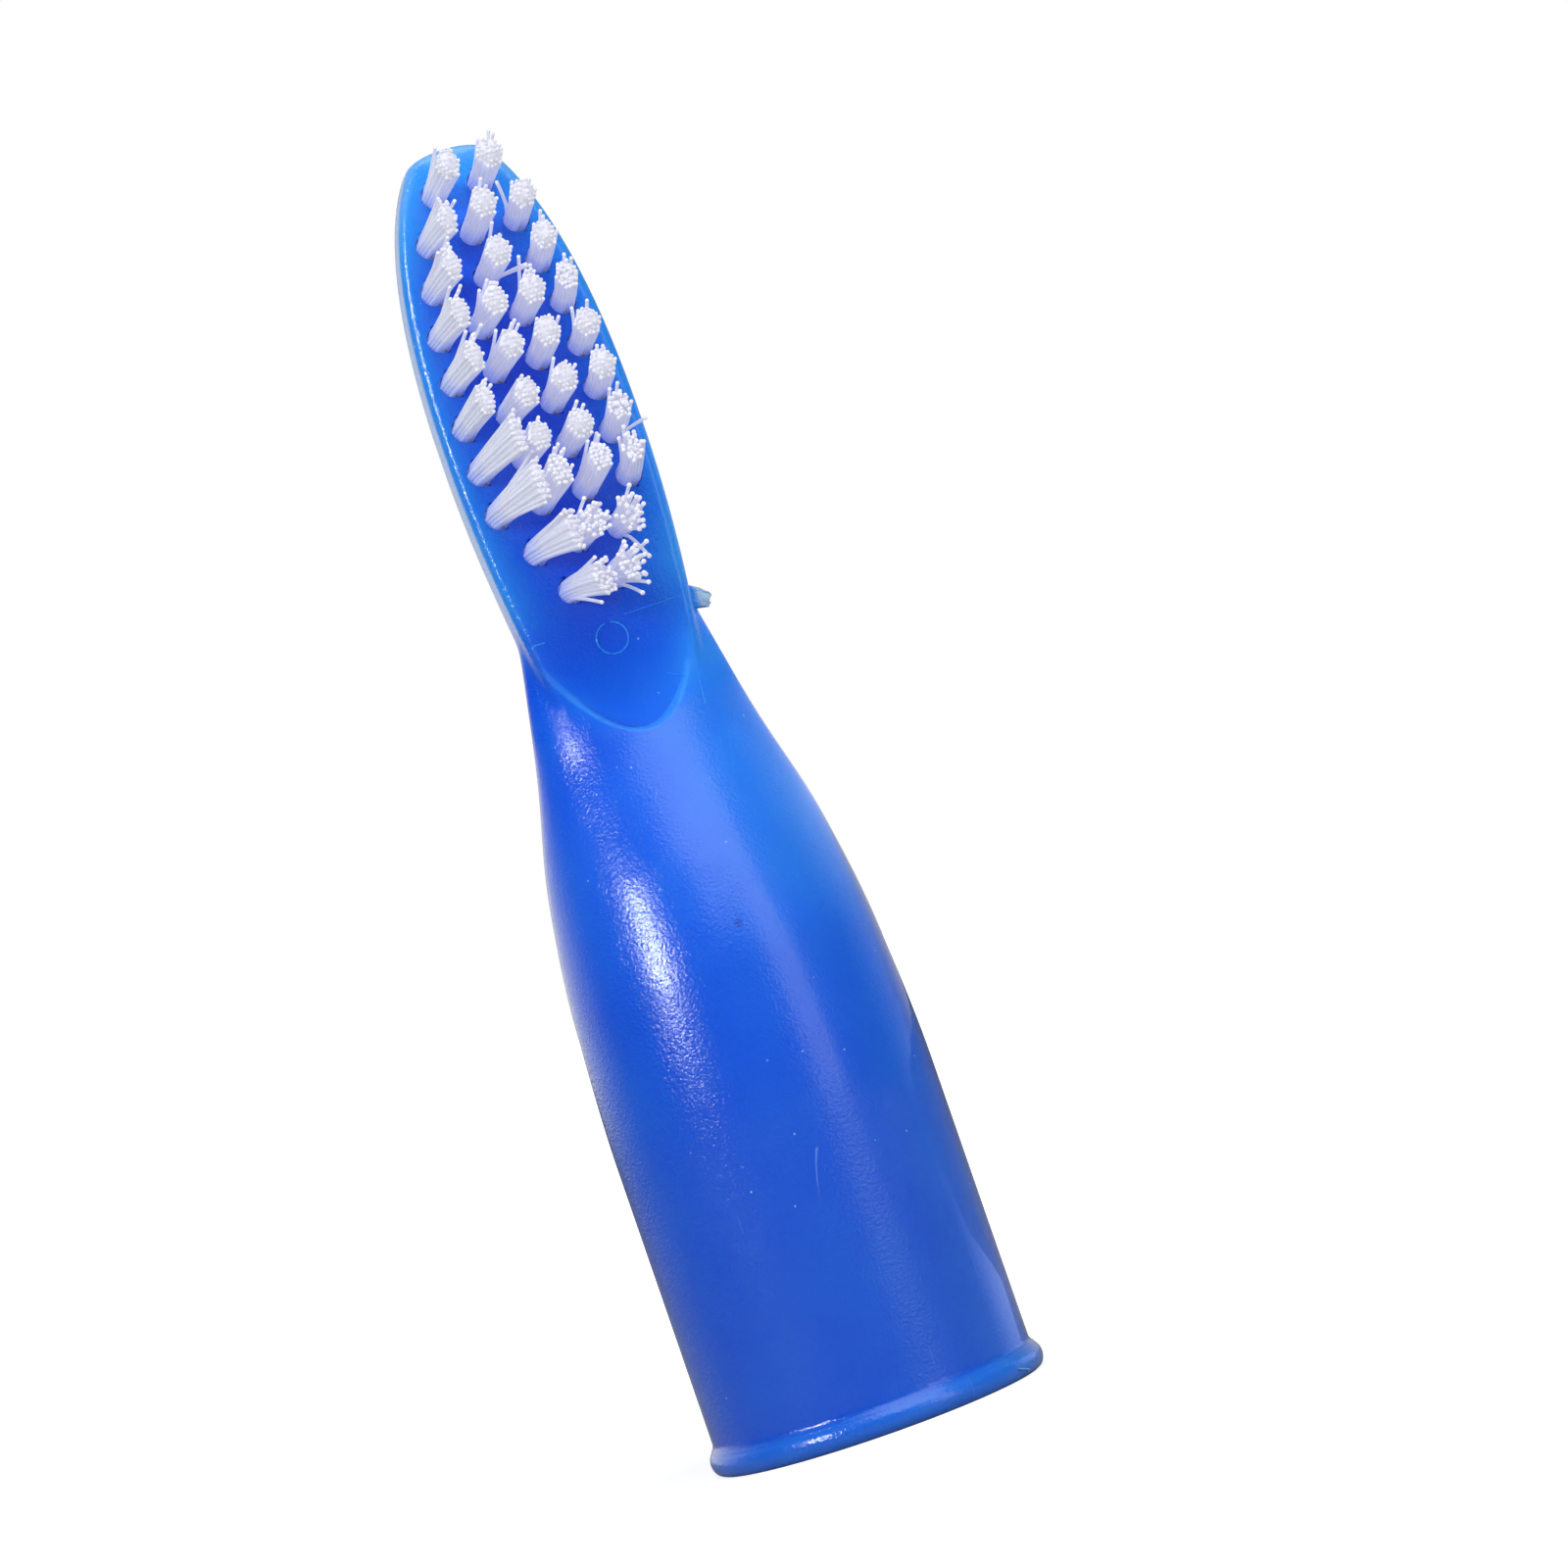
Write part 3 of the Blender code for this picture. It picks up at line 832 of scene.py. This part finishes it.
# The foot colour is painted shade and blue bounce light from the face.
NYLON_FOOT_SHADE = (0.42, 0.49, 0.88, 1.0)
NYLON_SIDE = (0.7, 0.71, 0.83, 1.0)
NYLON_TOP = (0.71, 0.71, 0.81, 1.0)
BRASS = (0.78, 0.6, 0.3, 1.0)
TARNISH = (0.4, 0.28, 0.13, 1.0)
PAPER_DARK = (0.3, 0.3, 0.31, 1.0)
PAPER_LIGHT = (0.34, 0.34, 0.34, 1.0)
WHITE = (1.0, 1.0, 1.0, 1.0)
BLACK = (0.0, 0.0, 0.0, 1.0)
CARD_BLUE = (0.47, 0.57, 1.0, 1.0)

# How the scratches' noise is drawn out and turned
DRAWN_OUT = (1.0, 1.0, 0.08)
DRAWN_TURN = (0.25, 0.12, 0.0)

# Where (X) the coat turns crisp towards the right, and where (Z) the neck's dull band starts and ends
CRISP_FROM, CRISP_TO = 0.003, 0.0065
NECK_BAND = (0.0432, 0.0448, 0.047, 0.049)


def dots(n, scale, size, share):
    """Sparse small marks: a share of the Voronoi cells each hold one, of this size in cells."""
    cells = n.add("ShaderNodeTexVoronoi", Vector=n.place(), Scale=scale)
    near = n.remap(cells.outputs["Distance"], size, size * 0.5)
    pick = n.add("ShaderNodeSeparateColor", Color=cells.outputs["Color"]).outputs[0]
    return n.maths("MULTIPLY", near, n.maths("LESS_THAN", pick, share))


def pocket_line(n):
    """1 along the pocket's rounded edge on the front, fading out upwards, sooner on the right."""
    x, y, z = n.place_axes()
    rise = n.maths("MULTIPLY", n.maths("MULTIPLY", x, x), 1 / (POCKET_SPREAD * MM))
    above = n.maths("SUBTRACT", n.maths("SUBTRACT", z, (POCKET_BOTTOM + 0.08) * MM), rise)
    slope = n.maths("MULTIPLY", x, 2 / (POCKET_SPREAD * MM))
    off = n.maths("ABSOLUTE", n.maths("DIVIDE", above, n.hypot(slope, 1.0)))
    line = n.remap(off, 0.00009, 0.00026, 1.0, 0.0)
    front = n.maths("MULTIPLY", line, n.maths("LESS_THAN", y, 0.0))
    top = n.remap(x, 0.0, 0.003, 0.0465, 0.0442)
    return n.maths("MULTIPLY", front, n.remap(n.maths("SUBTRACT", z, top), 0.0, 0.0025, 1.0, 0.0))


def fleck(n):
    """A small dark grain moulded into the front of the shoulder."""
    x, y, z = n.place_axes()
    away_x = n.maths("SUBTRACT", x, FLECK_PLACE[0] * MM)
    away_z = n.maths("SUBTRACT", z, FLECK_PLACE[1] * MM)
    spot = n.remap(n.hypot(away_x, away_z), 0.00018, 0.00032, 1.0, 0.0)
    return n.maths("MULTIPLY", spot, n.maths("LESS_THAN", y, 0.0))


def scratches(n):
    """Short fine lines up the body: a stretched noise's level line, kept in a few patches."""
    stretched = n.add("ShaderNodeMapping", Vector=n.place(), Scale=DRAWN_OUT, Rotation=DRAWN_TURN).outputs[0]
    level = n.maths("SUBTRACT", n.noise(420.0, 0.0, 0.5, stretched), 0.5)
    line = n.maths("LESS_THAN", n.maths("ABSOLUTE", level), 0.0025)
    return n.maths("MULTIPLY", line, n.remap(n.noise(260.0, 1.0), 0.67, 0.7))


def plastic_colour(n, edge):
    """Blue that gets lighter with painted light where light shows through the thinner plastic, with painted
    shade towards the mouth and a painted light line along the pocket's edge, and with the fleck, dust and
    scratches.
    """
    painted_light = n.add("ShaderNodeAttribute", {"attribute_name": "painted_light"}).outputs["Fac"]
    z = n.place_axes()[2]
    cloud = n.remap(n.noise(170.0, 2.0), 0.3, 0.7, -0.05, 0.05)
    # Painted light: clearer blue where light shows through the plastic.
    colour = n.mix(n.maths("ADD", painted_light, cloud), DEEP_BLUE, LIT_THROUGH_BLUE)
    # Painted shade: darker blue towards the mouth.
    colour = n.mix(n.remap(z, 0.034, 0.01, 0.0, 0.3), colour, MOUTH_SHADE_BLUE)
    # Painted light: frosted where the most light shows through.
    colour = n.mix(n.remap(painted_light, 1.0, 2.0), colour, LIT_THROUGH_FROST)
    colour = n.mix(n.maths("MULTIPLY", fleck(n), 0.45), colour, FLECK)
    # Painted light: a paler line along the pocket's rounded edge.
    colour = n.mix(n.maths("MULTIPLY", edge, 0.36), colour, EDGE_LIGHT_BLUE)
    dust = n.maths("MAXIMUM", dots(n, 900.0, 0.065, 0.26), dots(n, 620.0, 0.03, 0.5))
    marks = n.maths("MAXIMUM", n.maths("MULTIPLY", dust, 0.8), n.maths("MULTIPLY", scratches(n), 0.3))
    return n.mix(marks, colour, DUST)


def plastic():
    """Semi-translucent blue plastic under a gloss coat, clearer on the right and weak at the neck."""
    n = Nodes(bpy.data.materials.new("blue_plastic"))
    x, _, z = n.place_axes()
    edge = pocket_line(n)
    grain = n.noise(5000.0, 2.0, 0.6)
    wave = n.noise(220.0, 2.0)
    below = n.remap(z, NECK_BAND[0], NECK_BAND[1], 1.0, 0.2)
    above = n.remap(z, NECK_BAND[2], NECK_BAND[3], 0.2, 1.0)
    neck = n.maths("MAXIMUM", below, above)
    gloss = n.maths("MULTIPLY", n.remap(z, 0.036, 0.042, 0.5, 0.3), neck)
    gloss = n.maths("MULTIPLY", gloss, n.remap(x, CRISP_FROM, CRISP_TO, 1.0, 1.7))
    return n.finish(
        Base_Color=plastic_colour(n, edge),
        Roughness=n.maths("ADD", n.remap(grain, 0.2, 0.8, 0.12, 0.18), n.maths("MULTIPLY", edge, 0.45)),
        IOR=1.49,
        Specular_IOR_Level=n.maths("MULTIPLY", neck, n.remap(x, CRISP_FROM, CRISP_TO, 0.5, 0.15)),
        Normal=n.bump(wave, 0.00005, 0.4, n.bump(grain, 0.00005, 0.8)),
        Coat_Weight=n.remap(edge, 0.0, 1.0, gloss, 0.0),
        Coat_Roughness=n.remap(x, CRISP_FROM, CRISP_TO, 0.05, 0.015),
        Coat_Normal=n.bump(grain, 0.00002, n.remap(x, 0.001, 0.005, 1.0, 0.05)),
        Subsurface_Weight=0.5,
        Subsurface_Radius=(0.15, 0.5, 1.4),
        Subsurface_Scale=0.0012,
    )


def nylon():
    """White nylon with painted shade and blue bounce light at the foot of a tuft and a faint painted glow
    all over, rough and white at its cut ends.
    """
    n = Nodes(bpy.data.materials.new("nylon"))
    height = n.add("ShaderNodeAttribute", {"attribute_name": "height"}).outputs["Fac"]
    streak = n.noise(1500.0, 3.0)
    # Painted shade and blue bounce light towards the tuft's foot.
    colour = n.mix(n.remap(height, 0.0, 2.8), NYLON_FOOT_SHADE, NYLON_SIDE)
    colour = n.mix(n.remap(height, 5.6, 6.9), colour, NYLON_TOP)
    colour = n.mix(n.remap(streak, 0.35, 0.75, 0.0, 0.25), colour, NYLON_TOP)
    rough_side = n.remap(streak, 0.3, 0.7, 0.32, 0.45)
    rough_end = n.remap(height, 6.5, TUFT_HEIGHT, 0.0, 0.8)
    return n.finish(
        Base_Color=colour,
        Roughness=n.maths("MAXIMUM", rough_side, rough_end),
        IOR=1.53,
        Normal=n.bump(n.noise(9000.0, 2.0), 0.000008, 0.5),
        Subsurface_Weight=0.6,
        Subsurface_Radius=(1.0, 1.0, 1.2),
        Subsurface_Scale=0.0005,
        # Painted light: a faint glow in the nylon's own colour.
        Emission_Color=colour,
        Emission_Strength=0.2,
    )


def brass():
    """Tarnished brass for the anchors."""
    n = Nodes(bpy.data.materials.new("anchor_brass"))
    tarnish = n.noise(2400.0, 3.0)
    colour = n.mix(n.remap(tarnish, 0.35, 0.7), BRASS, TARNISH)
    return n.finish(Base_Color=colour, Metallic=1.0, Roughness=n.remap(tarnish, 0.3, 0.7, 0.22, 0.45))


def band(value, start, full, fade, end):
    """Rises from 0 at start to 1 at full, and falls again from fade to end."""
    return smoothstep(value, start, full) * (1 - smoothstep(value, fade, end))


def head_painted_light(x, z):
    """Painted light through the head: more near its outline, reaching further in on the right, and at the
    tip.
    """
    outline = np.array([leaf_half_width(min(max(h, HEAD_START), HEAD_TOP - 0.01)) for h in z])
    inward = np.maximum(np.minimum(outline - np.abs(x), (HEAD_TOP - z) * 0.9), 0)
    rim = 0.8 * np.exp(-inward / (1.6 + 0.6 * (x > 0))) * smoothstep(z, 48, 53)
    return 0.1 + rim + 0.45 * smoothstep(z, 70, 80)


def tube_painted_light(x, z):
    """Painted light through the shoulder and sleeve, which is more on the right, and through the lip."""
    shoulder = (0.1 + 0.37 * smoothstep(x, -4, 5)) * band(z, 24, 42, 44, 51)
    neck = 0.25 * smoothstep(x, 2, 5) * band(z, 44, 47, 50, 56)
    sleeve = 0.11 + 0.04 * smoothstep(x, -6, 4) + 0.1 * smoothstep(x, 4, 8)
    lip = 0.25 * (1 - smoothstep(z, 1.3, 1.8))
    return shoulder + neck + sleeve * (1 - smoothstep(z, 30, 44)) + lip


# Painted light through the broken gate, which paints it frosted.
def gate_painted_light(x, z):
    out = smoothstep(x, NECK_HALF_WIDTH + 0.3, NECK_HALF_WIDTH + 0.8)
    return 1.8 * out * band(z, 48.5, 49.0, 50.5, 51.0)


def pocket_painted_light(x, y, z):
    """Painted light along the pocket's lower edge on the front."""
    above = (z - POCKET_BOTTOM) - x**2 / POCKET_SPREAD
    return 0.14 * np.exp(-((above - 0.2) / 1.6) ** 2) * (y < 0) * (z < 50)


def paint_through_light(body):
    """Stores the painted light at each point, which stands in for light let through the plastic: 1 paints it
    clear blue, and 2 frosted.
    """
    points = np.empty(len(body.data.vertices) * 3)
    body.data.vertices.foreach_get("co", points)
    x, y, z = (points.reshape(-1, 3) / MM).T
    painted_light = head_painted_light(x, z) + tube_painted_light(x, z) + gate_painted_light(x, z) + pocket_painted_light(x, y, z)
    painted_light = np.clip(painted_light, 0, 2).astype(np.float32)
    attribute = body.data.attributes.get("painted_light")
    ridges = np.empty(len(painted_light), np.float32)
    attribute.data.foreach_get("value", ridges)
    attribute.data.foreach_set("value", np.maximum(painted_light, ridges))


def finish_piece(piece, material, node=None):
    """Gives a piece its material and body, and lets it stand in for a CAD node."""
    piece.data.materials.clear()
    piece.data.materials.append(material)
    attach(piece, "root")
    if node:
        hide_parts(node)


# Stage. The camera is placed by azimuth from -Y, elevation and distance from the point it aims at, which
# is given as (across the view, up).
CAMERA_AZIMUTH = -10.5
CAMERA_ELEVATION = -1.6
CAMERA_ROLL = -19.13
CAMERA_DISTANCE = 300.0
CAMERA_AIM = (6.93, 37.46)
CAMERA_LENS = 115.8
SENSOR_WIDTH = 36
CAMERA_NEAR = 0.01

LIGHTS_AIM = Vector((0, 0, 40))
LEFT_LIGHT_COLOUR = (0.93, 0.98, 1.0)
FLOOR_HALF_SIZE = 4000

# A card to the right of the part. Each corner is given as the place on the sleeve where the camera sees it
# mirrored: (degrees round the sleeve from the front, height).
CARD_X = 24.0
CARD = (
    (75, 62),
    (75, 37),
    (66, 34),
    (58, 26),
    (57, 21.5),
    (48, 19.4),
    (42.8, 16),
    (50, 8.8),
    (63, 5.5),
    (61, 1.9),
    (44, 1.9),
    (45.8, 8.9),
    (40.6, 15),
    (41.5, 27),
    (34, 62),
)


def direction(azimuth, elevation):
    """The way from the part towards a place at this azimuth from -Y and elevation, in degrees."""
    a = math.radians(azimuth)
    e = math.radians(elevation)
    return Vector((math.sin(a) * math.cos(e), -math.cos(a) * math.cos(e), math.sin(e)))


def make_floor():
    """Plain pale paper with a faint shadow near the part, partly painted shade: its glow to the camera is
    weaker close to the part. Far off it is as white as the backdrop.
    """
    bm = bmesh.new()
    bmesh.ops.create_grid(bm, x_segments=1, y_segments=1, size=FLOOR_HALF_SIZE)
    floor = to_object("floor", bm)
    n = Nodes(bpy.data.materials.new("floor_paper"))
    tone = n.mix(n.remap(n.noise(60.0, 3.0), 0.3, 0.7), PAPER_DARK, PAPER_LIGHT)
    x, y, _ = n.place_axes()
    # Painted shade: the camera-only glow is weaker close to the part.
    glow = n.remap(n.hypot(x, y), 0.015, 0.12, 0.79, 1.2)
    seen = n.add("ShaderNodeLightPath").outputs["Is Camera Ray"]
    strength = n.maths("MULTIPLY", glow, seen)
    paper = n.finish(Base_Color=tone, Roughness=0.9, Emission_Color=WHITE, Emission_Strength=strength)
    floor.data.materials.append(paper)


def make_world():
    """White to the camera. To the part, a backdrop that is brighter on the left, and a dim room in front."""
    world = bpy.data.worlds.new("studio")
    bpy.context.scene.world = world
    n = Nodes(world)
    around = n.add("ShaderNodeTexCoord").outputs["Generated"]
    x, y, _ = n.add("ShaderNodeSeparateXYZ", Vector=around).outputs
    left = n.maths("LESS_THAN", x, 0.0)
    behind = n.remap(y, 0.35, 0.85, 0.0, n.remap(left, 0.0, 1.0, 0.5, 1.0))
    strength = n.remap(behind, 0.0, 1.0, 0.07, 0.85)
    seen = n.maths("MAXIMUM", strength, n.add("ShaderNodeLightPath").outputs["Is Camera Ray"])
    background = n.tree.nodes["Background"]
    n.put(seen, background.inputs["Strength"])
    n.put(WHITE, background.inputs["Color"])


def add_light(name, azimuth, elevation, distance, size, watts):
    """A soft box that faces the middle of the part, with its size as (width, height)."""
    back = direction(azimuth, elevation)
    light = bpy.data.lights.new(name, "AREA")
    light.shape = "RECTANGLE"
    light.size = size[0] * MM
    light.size_y = size[1] * MM
    light.energy = watts
    lamp = link(name, light)
    place = Matrix.Translation((LIGHTS_AIM + back * distance) * MM)
    lamp.matrix_world = place @ back.to_track_quat("Z", "Y").to_matrix().to_4x4()
    return lamp


def make_lights():
    """Two of the lights make no highlights of their own."""
    add_light("top", 20, 56, 520, (420, 480), 0.92)
    add_light("fill", 10, 50, 520, (600, 500), 1.05).visible_glossy = False
    add_light("left", -55, 21, 420, (70, 150), 0.9).data.color = LEFT_LIGHT_COLOUR
    add_light("front", 36, 12, 600, (200, 420), 0.38)
    add_light("side", 66, 15, 480, (300, 400), 0.66).visible_glossy = False


def mirrored_place(angle, z):
    """Where the camera looks on the plane at CARD_X when the sleeve mirrors it at this angle and height."""
    normal = math.radians(angle)
    toward = 2 * normal - math.radians(CAMERA_AZIMUTH)
    reach = (CARD_X - SLEEVE_RADIUS * math.sin(normal)) / math.sin(toward)
    eye = CAMERA_AIM[1] + CAMERA_DISTANCE * math.sin(math.radians(CAMERA_ELEVATION))
    y = -SLEEVE_RADIUS * math.cos(normal) - reach * math.cos(toward)
    return CARD_X, y, z - (eye - z) / CAMERA_DISTANCE * reach


def make_card():
    """The pale blue card, seen only in reflections. It is dimmer at middle height and towards the front."""
    bm = bmesh.new()
    bm.faces.new([bm.verts.new(mirrored_place(angle, z)) for angle, z in CARD])
    card = to_object("cards", bm)
    for kind in ("camera", "diffuse", "transmission", "volume_scatter", "shadow"):
        setattr(card, "visible_" + kind, False)
    n = Nodes(bpy.data.materials.new("card_light"))
    _, y, z = n.place_axes()
    low = n.remap(z, 0.016, 0.022, 1.0, 0.5)
    high = n.remap(z, 0.032, 0.04, 0.5, 0.9)
    glow = n.maths("MULTIPLY", n.remap(y, -0.01, 0.002, 0.0, 1.28), n.maths("MAXIMUM", low, high))
    light = n.finish(Base_Color=BLACK, Emission_Color=CARD_BLUE, Emission_Strength=glow)
    card.data.materials.append(light)


def make_camera():
    """The photo's camera: a long lens a little below the part's middle, rolled to lean the part left."""
    a = math.radians(CAMERA_AZIMUTH)
    roll = math.radians(CAMERA_ROLL)
    back = direction(CAMERA_AZIMUTH, CAMERA_ELEVATION)
    right = Vector((math.cos(a), math.sin(a), 0))
    up = back.cross(right)
    image_right = right * math.cos(roll) + up * math.sin(roll)
    image_up = up * math.cos(roll) - right * math.sin(roll)
    aim = right * CAMERA_AIM[0] + Vector((0, 0, CAMERA_AIM[1]))
    data = bpy.data.cameras.new("camera")
    data.lens = CAMERA_LENS
    data.sensor_width = SENSOR_WIDTH
    data.clip_start = CAMERA_NEAR
    camera = link("camera", data)
    turn = Matrix((image_right, image_up, back)).transposed().to_4x4()
    camera.matrix_world = Matrix.Translation((aim + back * CAMERA_DISTANCE) * MM) @ turn
    bpy.context.scene.camera = camera


def main():
    """Builds the pieces and the stage. The anchors keep their CAD solids and only get their metal."""
    frames = tuft_frames()
    body = make_body(frames)
    paint_through_light(body)
    blue = plastic()
    white = nylon()
    metal = brass()
    finish_piece(body, blue, "sleeve_body")
    finish_piece(make_flash_curl(), blue)
    rng = random.Random(SEED)
    for name, placement in frames.items():
        finish_piece(make_tuft(name, placement, rng), white, name)
    for name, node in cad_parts.items():
        if name.startswith("anchor"):
            node.data.materials.clear()
            node.data.materials.append(metal)
    make_floor()
    make_world()
    make_card()
    make_lights()
    make_camera()
    bpy.context.scene.view_settings.view_transform = "Standard"


main()
